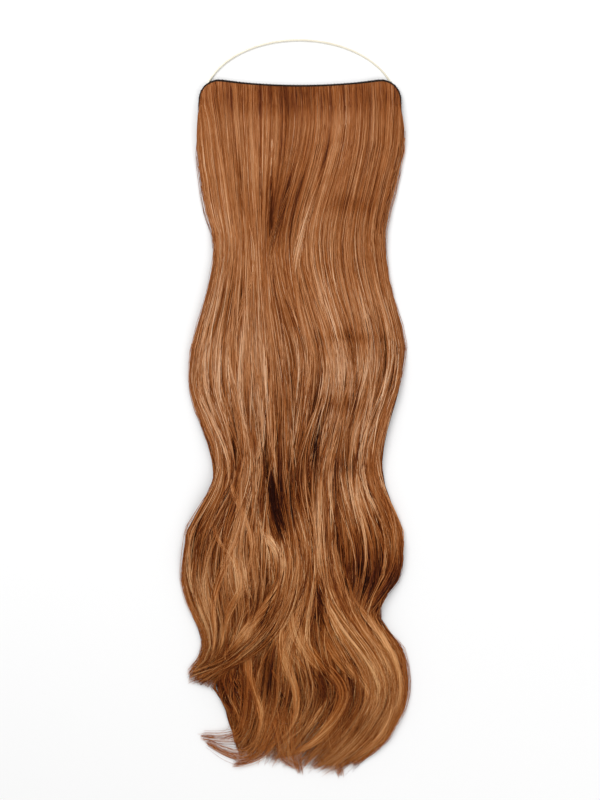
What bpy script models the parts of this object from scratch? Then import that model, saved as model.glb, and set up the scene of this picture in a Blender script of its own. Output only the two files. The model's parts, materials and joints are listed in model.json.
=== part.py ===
"""Halo hair extension, lying on its back on a table.

A stitched weft band carries a fall of long wavy hair, and a stiff nylon wire runs in one
loop from end to end of the band. Metres, +Z up. The origin is on the band's bare back face,
at the middle of the band and on the table. +X runs to the right along the band, +Y away
from the hair towards the wire.
"""

import math
from collections import namedtuple

import bmesh
import bpy
from mathutils import Vector

# Weft band: a flat stitched strip that bows up towards its two shoulders.
BAND_SPAN = 0.167
BAND_BOW = 0.0045
BAND_CORNER_RADIUS = 0.014
BAND_TAIL = 0.012
BAND_HEIGHT = 0.008
BAND_THICKNESS = 0.0024
BAND_EDGE_BEVEL = 0.0006
BAND_LIFT_START = 0.46
BAND_LIFT_END = 0.68
BAND_RING_SPACING = 0.0045
BAND_SEAT_RINGS = 61

# Wire: a free nylon loop whose two ends are held under the band's ends.
WIRE_DIAMETER = 0.0016
WIRE_RISE = 0.0565
WIRE_LEAN = 0.0012
WIRE_ROUTE_STEPS = 14
WIRE_POINT_SPACING = 0.0031

# Wire anchors: one crimped sleeve under each end of the band.
ANCHOR_LENGTH = 0.007
ANCHOR_WIDTH = 0.0036
ANCHOR_BEVEL = 0.0005
ANCHOR_INSET = 0.0012
ANCHOR_WALL = 0.0004

# Hair fall.
HAIR_DROP = 0.600
HAIR_SPREAD = 0.089
HAIR_BULK = 0.0155
ROOT_SET_BACK = 0.0022
ROOT_PILE = 0.0030
LOCK_WIDTH = 0.0150
LOCK_DEPTH = 0.0092
LOCK_ARCH_POINTS = 5
LOCK_RING_SPACING = 0.0185
LOCK_ROOT_TAPER = 0.05
LOCK_ROOT_SHARE = 0.68
LOCK_TIP_TAPER = 0.24
LOCK_TIP_SHARE = 0.36
LOCK_EDGE = 0.0015
LOCK_SINK = 0.0020
LOCK_SINK_STEP = 0.0001
BACKING_RINGS = 30
BACKING_TOP_POINTS = 9
FLOOR_CLEARANCE = 0.0006

# Gap that touching pieces keep.
CLEARANCE = 0.0003
CUTTER_REACH = 0.020

# Levels down the hair, in hundredths of HAIR_DROP, where each lock's place is stated.
LEVELS = {
    "shoulder": 6.1,
    "waist": 23.7,
    "swell": 41.3,
    "neck": 56.4,
    "hollow": 62.1,
    "bulge": 69.1,
    "pinch": 77.1,
    "fan": 82.4,
    "sweep": 88.2,
    "curl": 94.1,
}

# The mass that the locks are fused to. left, right and bulk are in hundredths of
# HAIR_SPREAD and HAIR_BULK, and level is in hundredths of HAIR_DROP.
Section = namedtuple("Section", "level left right bulk")
BACKING = (
    Section(1.2, -84, 84, 22),
    Section(6.1, -91, 90, 52),
    Section(12.0, -89, 87, 74),
    Section(23.7, -75, 71, 70),
    Section(32.0, -86, 82, 76),
    Section(41.3, -98, 89, 100),
    Section(48.5, -88, 78, 90),
    Section(56.4, -75, 70, 70),
    Section(62.1, -90, 83, 80),
    Section(69.1, -104, 92, 92),
    Section(76.5, -99, 66, 76),
    Section(82.4, -90, 90, 72),
    Section(88.2, -84, 96, 62),
    Section(94.1, -64, 86, 44),
    Section(97.0, -50, 70, 28),
    Section(99.0, -26, 46, 16),
)

# Locks fused on the backing. root is a share of the band's half length from its middle, or
# None for a lock that starts in the mass. Each level's column is in hundredths of
# HAIR_SPREAD, the tip is given across and down, and width, depth and proud are in
# hundredths of LOCK_WIDTH, LOCK_DEPTH and LOCK_DEPTH.
Lock = namedtuple(
    "Lock",
    "name root shoulder waist swell neck hollow bulge pinch fan sweep curl"
    " tip_across tip_level width depth proud",
)
LOCKS = (
    Lock("under_left", None, None, None, None, None, None, -66, -72, -78, -74, -58, -93, 95.1, 110, 90, 4),
    Lock("under_middle", None, None, None, None, None, None, -52, -60, -66, -60, -54, -84, 96.5, 110, 90, 8),
    Lock("under_inner", None, None, None, None, None, None, -30, -42, -50, -46, -43, -68, 97.6, 100, 90, 12),
    Lock("left_rim", -0.90, -99, -80, -104, -80, -98, -111, -104, -94, None, None, -109, 86.2, 92, 84, 6),
    Lock("left_outer", -0.82, -91, -73, -93, -73, -88, -101, -97, -89, None, None, -105, 86.9, 96, 92, 18),
    Lock("left_inner", -0.76, -84, -67, -82, -66, -80, -91, -86, -84, None, None, -100, 87.5, 100, 100, 30),
    Lock("left_front", -0.69, -76, -61, -71, -59, -73, -81, -75, -79, None, None, -94, 88.0, 100, 100, 38),
    Lock("left_fall", -0.62, -68, -55, -60, -52, -66, -71, -65, -74, None, None, -88, 88.4, 100, 100, 34),
    Lock("left_curl", -0.54, -61, -51, -50, -46, -60, -61, -56, -69, None, None, -84, 88.2, 96, 104, 46),
    Lock("left_turn", -0.465, -54, -46, -41, -39, -53, -51, -48, -64, None, None, -80, 87.8, 96, 104, 36),
    Lock("crossing_low", -0.39, -45, -41, -31, -27, -27, -17, -32, -62, None, None, -94, 87.2, 96, 108, 40),
    Lock("crossing_middle", -0.31, -36, -35, -24, -19, -18, -9, -27, -58, None, None, -100, 86.9, 100, 112, 58),
    Lock("crossing_top", -0.23, -27, -30, -17, -13, -10, -1, -21, -54, None, None, -106, 86.6, 96, 116, 74),
    Lock("heart_left", -0.15, -17, -26, -9, -9, -4, 2, -13, -33, -37, -49, -85, 97.0, 84, 96, 24),
    Lock("heart_middle", -0.07, -8, -19, -1, -6, 0, 5, -8, -24, -28, -37, -62, 98.4, 88, 96, 30),
    Lock("heart_right", 0.01, 1, -12, 6, -3, 3, 8, -2, -12, -15, -23, -40, 98.8, 92, 96, 28),
    Lock("split_left", 0.09, 10, -5, 12, 2, 7, 11, 5, 2, 17, -3, -20, 98.8, 96, 100, 42),
    Lock("split_right", 0.17, 20, 3, 19, 8, 12, 15, 13, 16, 33, 15, -8, 99.4, 96, 104, 50),
    Lock("sweep_low", 0.24, 30, 11, 29, 15, 17, 20, 31, 50, 66, 52, 18, 99.8, 100, 112, 60),
    Lock("sweep_middle", 0.31, 38, 20, 40, 24, 24, 27, 44, 66, 81, 65, 28, 100.0, 104, 116, 72),
    Lock("sweep_top", 0.38, 46, 30, 49, 31, 33, 35, 56, 81, 95, 76, 36, 99.8, 104, 112, 64),
    Lock("right_under", 0.45, 54, 39, 57, 39, 44, 50, 42, 40, 50, 32, 8, 99.6, 100, 100, 46),
    Lock("right_fall", 0.525, 62, 47, 65, 46, 54, 62, 54, 58, 64, 46, 42, 99.0, 96, 96, 40),
    Lock("right_front", 0.60, 70, 55, 73, 54, 64, 73, 63, 72, 78, 62, 48, 98.6, 96, 92, 34),
    Lock("right_inner", 0.67, 78, 63, 82, 61, 73, 83, 69, 84, 91, 78, 60, 98.6, 96, 88, 26),
    Lock("right_outer", 0.76, 88, 71, 92, 69, 81, 91, 71, 92, 100, 89, 70, 98.0, 92, 80, 16),
    Lock("right_rim", 0.87, 98, 78, 97, 75, 89, 98, 72, 96, 103, 94, 74, 97.2, 88, 72, 6),
)

HAIR_COLOUR = (0.36, 0.155, 0.058)
BAND_COLOUR = (0.020, 0.014, 0.011)
WIRE_COLOUR = (0.80, 0.76, 0.66)
ANCHOR_COLOUR = (0.055, 0.032, 0.020)


def clear_scene():
    for thing in list(bpy.data.objects):
        bpy.data.objects.remove(thing)


def principled(name, colour, roughness, metallic=0.0):
    material = bpy.data.materials.new(name)
    material.use_nodes = True
    shader = material.node_tree.nodes["Principled BSDF"]
    shader.inputs["Base Color"].default_value = (*colour, 1.0)
    shader.inputs["Roughness"].default_value = roughness
    shader.inputs["Metallic"].default_value = metallic
    return material


def smooth_step(x):
    x = min(max(x, 0.0), 1.0)
    return x * x * (3.0 - 2.0 * x)


def through(knots, values, at):
    """Value at a place on the smooth curve through values stated at rising knots."""
    i = max(k for k in range(len(knots) - 1) if at >= knots[k] or k == 0)
    before, after = max(i - 1, 0), min(i + 2, len(knots) - 1)
    step = knots[i + 1] - knots[i]
    t = min(max((at - knots[i]) / step, 0.0), 1.0)
    slope_in = (values[i + 1] - values[before]) / (knots[i + 1] - knots[before]) * step
    slope_out = (values[after] - values[i]) / (knots[after] - knots[i]) * step
    return (
        values[i] * (2 * t**3 - 3 * t**2 + 1)
        + slope_in * (t**3 - 2 * t**2 + t)
        + values[i + 1] * (3 * t**2 - 2 * t**3)
        + slope_out * (t**3 - t**2)
    )


def curve_through(points, count):
    """Evenly spaced points on the smooth curve through a route's own points."""
    knots = [0.0]
    for a, b in zip(points, points[1:]):
        knots.append(knots[-1] + (b - a).length)
    columns = list(zip(*points))
    places = (knots[-1] * k / (count - 1) for k in range(count))
    return [Vector([through(knots, column, at) for column in columns]) for at in places]


def directions(points):
    """Unit direction of travel at each point of a line, in plan."""
    found = []
    for i in range(len(points)):
        ahead = points[min(i + 1, len(points) - 1)]
        behind = points[max(i - 1, 0)]
        found.append((ahead - behind).to_2d().normalized())
    return found


def band_half_length():
    """Length along the band from its middle to the end of one tail."""
    return bowed_half() + BAND_CORNER_RADIUS * (math.pi / 2 + band_rise()) + BAND_TAIL


def bowed_half():
    """Length along the band from its middle to where a corner begins."""
    return BAND_SPAN / 2 - BAND_CORNER_RADIUS


def band_rise():
    """Angle at which the band climbs where a corner begins."""
    return math.atan(2 * BAND_BOW / bowed_half())


def band_point(share):
    """Centre line of the band in plan, at a share of its half length: (point, direction)."""
    side = -1.0 if share < 0 else 1.0
    travelled = abs(share) * band_half_length()
    half = bowed_half()
    across = min(travelled / half, 1.0)
    point = Vector((across * half, BAND_BOW * across**2))
    heading = math.atan(2 * BAND_BOW / half * across)
    if travelled > half:
        rise = band_rise()
        turned = min((travelled - half) / BAND_CORNER_RADIUS, math.pi / 2 + rise)
        centre = point + BAND_CORNER_RADIUS * Vector((math.sin(rise), -math.cos(rise)))
        heading = rise - turned
        point = centre + BAND_CORNER_RADIUS * Vector((-math.sin(heading), math.cos(heading)))
        tail = travelled - half - BAND_CORNER_RADIUS * turned
        point += tail * Vector((math.cos(heading), math.sin(heading)))
    return Vector((side * point.x, point.y)), Vector((math.cos(heading), side * math.sin(heading)))


def band_outward(share):
    """Unit vector in plan from the band's centre line towards its free top edge."""
    direction = band_point(share)[1]
    return Vector((-direction.y, direction.x))


def band_back(share):
    """Height of the band's back face: on the table, and lifted over the wire at both ends."""
    lift = WIRE_DIAMETER + 2 * CLEARANCE + ANCHOR_WALL
    return lift * smooth_step((abs(share) - BAND_LIFT_START) / (BAND_LIFT_END - BAND_LIFT_START))


def mesh_from_rings(name, rings):
    """A closed solid through a row of rings that have equal numbers of points."""
    bm = bmesh.new()
    loops = []
    for ring in rings:
        corners = [bm.verts.new(point) for point in ring]
        loops.append([bm.edges.new((a, b)) for a, b in zip(corners, corners[1:] + corners[:1])])
    for first, second in zip(loops, loops[1:]):
        bmesh.ops.bridge_loops(bm, edges=first + second)
    for end in (loops[0], loops[-1]):
        bmesh.ops.contextual_create(bm, geom=end)
    bmesh.ops.recalc_face_normals(bm, faces=bm.faces)
    mesh = bpy.data.meshes.new(name)
    bm.to_mesh(mesh)
    bm.free()
    thing = bpy.data.objects.new(name, mesh)
    bpy.context.scene.collection.objects.link(thing)
    return thing


def as_cutter(thing):
    thing.hide_render = True
    thing.display_type = "WIRE"
    return thing


def band_rings(grow, drop, count, reach=1.0):
    """Rectangular sections along the band, grown all round by a clearance, and down by drop."""
    rings = []
    for k in range(count):
        share = reach * (2.0 * k / (count - 1) - 1.0)
        centre = band_point(share)[0]
        outward = band_outward(share)
        half = BAND_HEIGHT / 2 + grow
        low = band_back(share) - grow - drop
        high = band_back(share) + BAND_THICKNESS + grow
        bevel = 0.0 if grow else BAND_EDGE_BEVEL
        corners = [(half, low), (-half, low), (-half, high - bevel), (-half + bevel, high)]
        corners += [(half - bevel, high), (half, high - bevel)]
        if not bevel:
            corners = [(half, low), (-half, low), (-half, high), (half, high)]
        rings.append([(*(centre + outward * across), height) for across, height in corners])
    return rings


def make_weft_band():
    count = 2 * round(band_half_length() / BAND_RING_SPACING) + 1
    band = mesh_from_rings("weft_band", band_rings(0.0, 0.0, count))
    band.data.materials.append(principled("weft_band", BAND_COLOUR, 0.75))
    return band


def anchor_middle(side):
    """Middle of an anchor in plan, and the band's direction of travel there."""
    return band_point(side * (1.0 - (ANCHOR_INSET + ANCHOR_LENGTH / 2) / band_half_length()))


def wire_line():
    """Points along the wire's centre line, which lies on the table all the way."""
    height = WIRE_DIAMETER / 2 + FLOOR_CLEARANCE / 4
    held, line = anchor_middle(1.0)
    end = held - line * (ANCHOR_LENGTH / 2 + CLEARANCE)
    route = []
    for k in range(-WIRE_ROUTE_STEPS, WIRE_ROUTE_STEPS + 1):
        angle = math.pi / 2 * k / WIRE_ROUTE_STEPS
        across = end.x * math.sin(angle) - WIRE_LEAN * math.cos(angle)
        route.append(Vector((across, end.y + WIRE_RISE * math.cos(angle))))
    route = [Vector((*point, height)) for point in route]
    length = sum((b - a).length for a, b in zip(route, route[1:]))
    return curve_through(route, round(length / WIRE_POINT_SPACING) + 1)


def make_wire():
    points = wire_line()
    curve = bpy.data.curves.new("halo_wire", "CURVE")
    curve.dimensions = "3D"
    curve.bevel_depth = WIRE_DIAMETER / 2
    curve.bevel_resolution = 2
    curve.use_fill_caps = True
    spline = curve.splines.new("POLY")
    spline.points.add(len(points) - 1)
    for place, point in zip(spline.points, points):
        place.co = (*point, 1.0)
    wire = bpy.data.objects.new("halo_wire", curve)
    bpy.context.scene.collection.objects.link(wire)
    curve.materials.append(principled("halo_wire", WIRE_COLOUR, 0.25))
    return wire


def make_anchor(name, side):
    """A crimped sleeve that closes the wire's end, held under one end of the band."""
    centre, direction = anchor_middle(side)
    outward = Vector((-direction.y, direction.x))
    top = band_back(side) - CLEARANCE
    middle = Vector((*centre, (FLOOR_CLEARANCE / 2 + top) / 2))
    bm = bmesh.new()
    bmesh.ops.create_cube(bm, size=1.0)
    size = Vector((ANCHOR_LENGTH, ANCHOR_WIDTH, top - FLOOR_CLEARANCE / 2))
    bmesh.ops.scale(bm, vec=size, verts=bm.verts)
    along = [e for e in bm.edges if abs((e.verts[0].co - e.verts[1].co).normalized().x) > 0.5]
    bmesh.ops.bevel(bm, geom=along, offset=ANCHOR_BEVEL, segments=2, profile=0.5, affect="EDGES", material=-1)
    for corner in bm.verts:
        flat = centre + direction * corner.co.x + outward * corner.co.y
        corner.co = Vector((*flat, middle.z + corner.co.z))
    bmesh.ops.recalc_face_normals(bm, faces=bm.faces)
    mesh = bpy.data.meshes.new(name)
    bm.to_mesh(mesh)
    bm.free()
    anchor = bpy.data.objects.new(name, mesh)
    bpy.context.scene.collection.objects.link(anchor)
    mesh.materials.append(principled(name, ANCHOR_COLOUR, 0.5))
    return anchor


def backing_at(level):
    """The backing's left edge, right edge and height at a level, in metres."""
    levels = [row.level for row in BACKING]
    left = through(levels, [row.left for row in BACKING], level)
    right = through(levels, [row.right for row in BACKING], level)
    bulk = through(levels, [row.bulk for row in BACKING], level)
    return left / 100 * HAIR_SPREAD, right / 100 * HAIR_SPREAD, bulk / 100 * HAIR_BULK


def crown(share):
    """How the mass rounds down from its middle, where share is 0, to its edge at 1."""
    return max(1.0 - abs(share) ** 3.2, 0.0) ** 0.5


def backing_height(across, level):
    """Height of the backing's top over a place, and none outside it."""
    first, last = BACKING[0].level, BACKING[-1].level
    left, right, bulk = backing_at(min(max(level, first), last))
    share = (across - (left + right) / 2) / ((right - left) / 2)
    return bulk * crown(share)


def make_backing():
    """The closed, flat-backed mass of hair under the locks."""
    first, last = BACKING[0].level, BACKING[-1].level
    rings = []
    for k in range(BACKING_RINGS):
        level = first + (last - first) * k / (BACKING_RINGS - 1)
        left, right, _ = backing_at(level)
        down = -level / 100 * HAIR_DROP
        middle, half = (left + right) / 2, (right - left) / 2
        ring = [(middle - half, down, -LOCK_SINK), (middle + half, down, -LOCK_SINK)]
        for i in range(BACKING_TOP_POINTS + 2):
            angle = math.pi * (i + 0.35) / (BACKING_TOP_POINTS + 1.7)
            across = middle + half * math.cos(angle)
            ring.append((across, down, backing_height(across, level) + FLOOR_CLEARANCE))
        rings.append(ring)
    return mesh_from_rings("hair", rings)


def lock_route(row):
    """A lock's own points in plan, from its root to its tip."""
    route = []
    if row.root is not None:
        centre, _ = band_point(row.root)
        route.append(centre + band_outward(row.root) * (BAND_HEIGHT / 2 - ROOT_SET_BACK))
    for name, level in LEVELS.items():
        across = getattr(row, name)
        if across is not None:
            route.append(Vector((across / 100 * HAIR_SPREAD, -level / 100 * HAIR_DROP)))
    route.append(Vector((row.tip_across / 100 * HAIR_SPREAD, -row.tip_level / 100 * HAIR_DROP)))
    return route


def make_lock(row, order):
    """One lock: an arched section swept down its route, standing on the table."""
    route = lock_route(row)
    length = sum((b - a).length for a, b in zip(route, route[1:]))
    points = curve_through(route, round(length / LOCK_RING_SPACING) + 1)
    over_band = 0.0
    if row.root is not None:
        over_band = band_back(row.root) + BAND_THICKNESS + CLEARANCE + ROOT_PILE
    sunk = -LOCK_SINK - LOCK_SINK_STEP * (order + 1)
    rings = []
    for k, (point, line) in enumerate(zip(points, directions(points))):
        share = k / (len(points) - 1)
        tip = LOCK_TIP_SHARE + (1 - LOCK_TIP_SHARE) * smooth_step((1 - share) / LOCK_TIP_TAPER)
        rooted = smooth_step(share / LOCK_ROOT_TAPER)
        half = row.width / 200 * LOCK_WIDTH * tip * (LOCK_ROOT_SHARE + (1 - LOCK_ROOT_SHARE) * rooted)
        rise = max(row.depth / 100 * LOCK_DEPTH * tip * rooted, ROOT_PILE * tip)
        lying = backing_height(point.x, -point.y / HAIR_DROP * 100)
        top = max(lying + row.proud / 100 * LOCK_DEPTH * rooted * tip, rise + LOCK_EDGE)
        if over_band:
            top = over_band + (top - over_band) * smooth_step(share / (2 * LOCK_ROOT_TAPER))
        across = Vector((-line.y, line.x))
        ring = [(*(point - across * half), sunk), (*(point + across * half), sunk)]
        for i in range(LOCK_ARCH_POINTS):
            angle = math.pi * i / (LOCK_ARCH_POINTS - 1)
            flat = point + across * half * math.cos(angle)
            ring.append((*flat, top - rise + rise * math.sin(angle)))
        rings.append(ring)
    return as_cutter(mesh_from_rings("lock_" + row.name, rings))


def add_boolean(thing, name, operation, others):
    collection = bpy.data.collections.new(name)
    for other in others:
        collection.objects.link(other)
    modifier = thing.modifiers.new(name, "BOOLEAN")
    modifier.operation = operation
    modifier.solver = "EXACT"
    modifier.operand_type = "COLLECTION"
    modifier.collection = collection


def make_table_cutter():
    """A block whose top is the table, which trims the underside of the hair flat."""
    bm = bmesh.new()
    bmesh.ops.create_cube(bm, size=1.0)
    bmesh.ops.scale(bm, vec=(HAIR_DROP, 2.5 * HAIR_DROP, CUTTER_REACH), verts=bm.verts)
    bmesh.ops.translate(bm, vec=(0.0, -HAIR_DROP / 2, -CUTTER_REACH / 2), verts=bm.verts)
    mesh = bpy.data.meshes.new("table_cutter")
    bm.to_mesh(mesh)
    bm.free()
    block = bpy.data.objects.new("table_cutter", mesh)
    bpy.context.scene.collection.objects.link(block)
    return as_cutter(block)


def make_hair():
    """The backing with every lock fused to it, cut clear of the band and of the wire."""
    hair = make_backing()
    hair.data.materials.append(principled("hair", HAIR_COLOUR, 0.45))
    add_boolean(hair, "fuse_locks", "UNION", [make_lock(row, order) for order, row in enumerate(LOCKS)])
    seat = mesh_from_rings("band_seat", band_rings(CLEARANCE, CUTTER_REACH, BAND_SEAT_RINGS, reach=1.02))
    add_boolean(hair, "clear_band_and_table", "DIFFERENCE", [as_cutter(seat), make_table_cutter()])
    return hair


def main():
    clear_scene()
    make_weft_band()
    make_wire()
    make_anchor("wire_anchor_left", -1.0)
    make_anchor("wire_anchor_right", 1.0)
    make_hair()


main()
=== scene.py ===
"""Looks of a halo hair extension that lies on a pale table, seen from straight above."""

import json
import math
from collections import namedtuple

import bmesh
import bpy
import numpy as np
from bpy.props import FloatProperty, IntProperty, PointerProperty
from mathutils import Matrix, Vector
from mathutils.bvhtree import BVHTree

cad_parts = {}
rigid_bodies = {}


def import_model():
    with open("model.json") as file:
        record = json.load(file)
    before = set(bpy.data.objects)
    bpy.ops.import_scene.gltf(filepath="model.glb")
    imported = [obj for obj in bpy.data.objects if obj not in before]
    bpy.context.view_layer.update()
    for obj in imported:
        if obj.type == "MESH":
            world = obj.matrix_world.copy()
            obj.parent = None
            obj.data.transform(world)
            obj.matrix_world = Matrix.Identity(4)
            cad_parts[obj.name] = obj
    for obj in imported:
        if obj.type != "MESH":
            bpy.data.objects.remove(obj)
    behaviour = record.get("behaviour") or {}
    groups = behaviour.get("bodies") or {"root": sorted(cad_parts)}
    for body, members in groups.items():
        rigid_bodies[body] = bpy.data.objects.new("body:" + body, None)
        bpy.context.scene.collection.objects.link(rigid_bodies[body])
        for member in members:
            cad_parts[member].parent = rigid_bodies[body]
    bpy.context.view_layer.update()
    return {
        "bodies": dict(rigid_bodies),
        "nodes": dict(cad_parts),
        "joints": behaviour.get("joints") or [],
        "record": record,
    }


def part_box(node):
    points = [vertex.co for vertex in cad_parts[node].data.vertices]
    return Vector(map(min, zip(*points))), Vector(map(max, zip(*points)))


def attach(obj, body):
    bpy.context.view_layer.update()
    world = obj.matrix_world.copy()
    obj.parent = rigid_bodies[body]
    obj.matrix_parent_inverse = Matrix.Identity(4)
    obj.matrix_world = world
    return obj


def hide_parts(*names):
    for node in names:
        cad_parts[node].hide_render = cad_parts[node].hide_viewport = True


bl_info = {
    "name": "Halo hair extension",
    "version": (1, 0, 0),
    "blender": (4, 5, 0),
    "location": "3D View > Sidebar > Halo Hair",
    "description": "Builds the hair, band, wire and studio round the packed halo hair extension",
    "category": "Object",
}

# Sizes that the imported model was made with, in metres.
HAIR_DROP = 0.600
HAIR_SPREAD = 0.089
BAND_SPAN = 0.167
BAND_BOW = 0.0045
BAND_CORNER_RADIUS = 0.014
BAND_TAIL = 0.012
BAND_HEIGHT = 0.008
BAND_THICKNESS = 0.0024
ANCHOR_LENGTH = 0.007
ANCHOR_INSET = 0.0012
CLEARANCE = 0.0003
WIRE_DIAMETER = 0.0016
WIRE_RISE = 0.0565
WIRE_LEAN = 0.0012
WIRE_HEIGHT = 0.00095
WIRE_POINTS = 73
ROOT_SET_BACK = 0.0022

# Stitches on the band: length down it, slant along it, rise over it and sink into it.
STITCH_LENGTH = 0.0028
STITCH_SLANT = 0.0012
STITCH_RISE = 0.0003
STITCH_SINK = 0.0001
STITCH_SET_BACK = 0.0011
THREAD_RADIUS = 0.00022

# The photograph's frame: one of its pixels is this wide at the height of the scale plane.
PIXEL = 0.00088
PHOTO_HEIGHT = 800
PHOTO_MIDDLE_Y = -0.2736
SCALE_PLANE = 0.004
SENSOR_WIDTH = 36.0

# Levels down the hair, in hundredths of HAIR_DROP, where each guide's place is stated.
LEVELS = {
    "shoulder": 6.1,
    "waist": 23.7,
    "swell": 41.3,
    "neck": 56.4,
    "hollow": 62.1,
    "bulge": 69.1,
    "pinch": 77.1,
    "fan": 82.4,
    "sweep": 88.2,
    "curl": 94.1,
}

# Guides that the strands run between. root is a share of the band's half length, each
# level's column is in hundredths of HAIR_SPREAD, and the tip is given across and down.
# The guides of the under group start at the bulge.
Guide = namedtuple(
    "Guide",
    "root shoulder waist swell neck hollow bulge pinch fan sweep curl tip_across tip_level",
)
GUIDES = {
    "left": (
        (-0.96, -104, -87, -111, -86, -104, -117, -109, -98, None, None, -112, 85.6),
        (-0.84, -94, -78, -98, -78, -93, -106, -99, -93, None, None, -109, 86.2),
        (-0.74, -83, -69, -84, -69, -82, -93, -87, -87, None, None, -106, 86.7),
        (-0.64, -72, -60, -68, -59, -70, -78, -73, -80, None, None, -102, 87.0),
        (-0.54, -61, -53, -52, -49, -56, -60, -58, -72, None, None, -99, 87.3),
        (-0.44, -51, -45, -40, -38, -42, -40, -44, -64, None, None, -96, 87.4),
        (-0.36, -42, -39, -33, -31, -32, -24, -34, -60, None, None, -94, 87.4),
    ),
    "crossing": (
        (-0.40, -45, -41, -33, -29, -26, -16, -30, -62, None, None, -96, 87.5),
        (-0.30, -35, -36, -24, -20, -16, -9, -24, -56, None, None, -102, 87.0),
        (-0.20, -24, -31, -15, -11, -8, -1, -17, -50, None, None, -108, 86.4),
    ),
    "middle": (
        (-0.24, -27, -31, -18, -15, -10, -3, -18, -38, -46, -52, -66, 96.6),
        (-0.14, -15, -28, -8, -9, -3, 2, -10, -27, -33, -42, -56, 98.2),
        (-0.04, -4, -25, 2, -5, 1, 6, -4, -15, -15, -24, -38, 99.0),
        (0.06, 7, -17, 9, -1, 4, 9, 3, 0, 12, -4, -22, 98.9),
        (0.16, 19, -6, 17, 6, 9, 13, 14, 22, 44, 27, -4, 99.3),
    ),
    "sweep": (
        (0.16, 20, -5, 20, 7, 10, 14, 20, 36, 54, 36, 2, 99.4),
        (0.26, 32, 6, 32, 16, 18, 21, 35, 58, 74, 55, 12, 99.7),
        (0.36, 43, 18, 44, 25, 27, 30, 49, 74, 89, 69, 22, 99.8),
        (0.43, 51, 27, 52, 32, 36, 41, 59, 84, 97, 77, 32, 99.8),
    ),
    "right": (
        (0.40, 48, 25, 49, 31, 34, 40, 33, 32, 40, 22, -6, 99.2),
        (0.49, 58, 37, 58, 42, 48, 57, 49, 50, 57, 38, 10, 99.6),
        (0.58, 69, 50, 69, 52, 61, 73, 62, 70, 76, 58, 24, 99.8),
        (0.67, 80, 61, 82, 61, 73, 86, 70, 84, 91, 76, 34, 99.8),
        (0.77, 91, 72, 94, 71, 84, 95, 74, 93, 100, 86, 44, 99.4),
        (0.96, 104, 84, 104, 82, 96, 104, 78, 100, 107, 94, 54, 98.8),
    ),
    "under": [(None,) * 6 + row for row in (
        (-78, -84, -84, -82, -68, -68, 95.6),
        (-62, -68, -72, -70, -62, -66, 96.6),
        (-44, -52, -58, -57, -54, -60, 97.4),
        (-20, -34, -44, -42, -42, -48, 98.2),
        (16, 2, 0, 14, 0, -26, 98.6),
        (56, 46, 50, 58, 42, 6, 99.2),
        (88, 68, 82, 92, 78, 34, 99.4),
    )],
}
GUIDES = {name: [Guide(*row) for row in rows] for name, rows in GUIDES.items()}

# Single locks that lie over the rest: width and lift in millimetres, then plan points.
Accent = namedtuple("Accent", "name width lift strands tone points")
ACCENTS = [Accent(*row) for row in (
    ("left curl", 11, 1.6, 84, 0.04, (
        (-49, 61.0), (-38, 64.7), (-22, 67.6), (-19, 71.7), (-38, 76.7), (-63, 81.1), (-87, 84.9), (-101, 86.7))),
    ("heart curl", 13, 2.0, 96, 0.05, (
        (-8, 69.1), (-10, 74.9), (0, 80.8), (25, 84.9), (42, 88.4), (32, 92.8), (0, 96.9), (-30, 98.2))),
    ("low right curl", 12, 1.8, 90, 0.02, (
        (18, 74.9), (26, 80.8), (49, 84.9), (73, 89.6), (69, 94.3), (38, 98.1), (12, 99.6))),
    ("left fall", 8, 1.6, 70, 0.08, (
        (-47, 50.0), (-59, 57.3), (-59, 62.5), (-71, 68.3), (-85, 74.9), (-85, 81.5), (-95, 85.2), (-107, 86.4))),
    ("heart fall", 9, 1.8, 76, 0.06, (
        (3, 63.2), (0, 69.1), (-16, 76.4), (-18, 82.3), (-4, 88.1), (-8, 93.3), (-38, 97.2))),
    ("right rim", 8, 1.2, 66, 0.03, (
        (71, 52.9), (79, 58.1), (92, 63.2), (95, 68.3), (82, 73.5), (70, 77.1), (84, 81.1), (99, 86.7), (95, 91.8),
        (76, 96.2))),
    ("big lock edge", 8, 2.2, 70, 0.08, (
        (16, 60.3), (24, 66.9), (42, 73.2), (63, 76.8), (85, 81.2), (98, 86.5), (95, 91.3))),
    ("upper cross one", 8, 0.9, 64, -0.02, (
        (32, 6.7), (18, 13.3), (4, 19.9), (-4, 26.5), (4, 33.9), (18, 41.2), (12, 47.1), (0, 52.9))),
    ("upper cross two", 9, 0.9, 70, -0.02, (
        (6, 7.5), (-10, 14.8), (-25, 21.4), (-32, 29.5), (-22, 37.5), (-12, 44.9), (-14, 51.5), (-24, 58.1),
        (-15, 64.7))),
    ("upper left", 6, 0.6, 40, -0.04, (
        (-63, 11.9), (-53, 18.5), (-43, 25.1), (-55, 30.9), (-63, 38.3), (-53, 45.6), (-47, 51.5))),
    ("left low wave", 8, 1.3, 60, 0.07, (
        (-77, 60.3), (-84, 64.7), (-67, 68.5), (-59, 72.7), (-71, 77.1), (-77, 81.5), (-87, 84.9))),
    ("left middle wave", 7, 1.1, 56, 0.02, (
        (-63, 48.5), (-71, 53.7), (-67, 58.8), (-53, 63.2), (-47, 67.9), (-59, 73.5))),
    ("right middle wave", 8, 0.9, 60, 0.01, (
        (49, 22.1), (61, 30.9), (71, 38.3), (65, 45.6), (55, 51.5), (61, 57.3), (77, 63.2))),
    ("neck lock", 8, 1.5, 66, 0.04, (
        (36, 45.6), (22, 51.5), (6, 57.3), (4, 63.2), (12, 69.1), (16, 74.9))),
    ("low left curl", 9, 1.5, 76, 0.06, (
        (-38, 74.9), (-51, 80.8), (-49, 86.7), (-38, 91.8), (-44, 95.6), (-62, 97.4))),
    ("low right sweep", 11, 1.8, 84, 0.06, (
        (51, 80.8), (77, 85.2), (89, 89.9), (80, 94.7), (55, 98.0), (38, 99.8))),
)]

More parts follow.
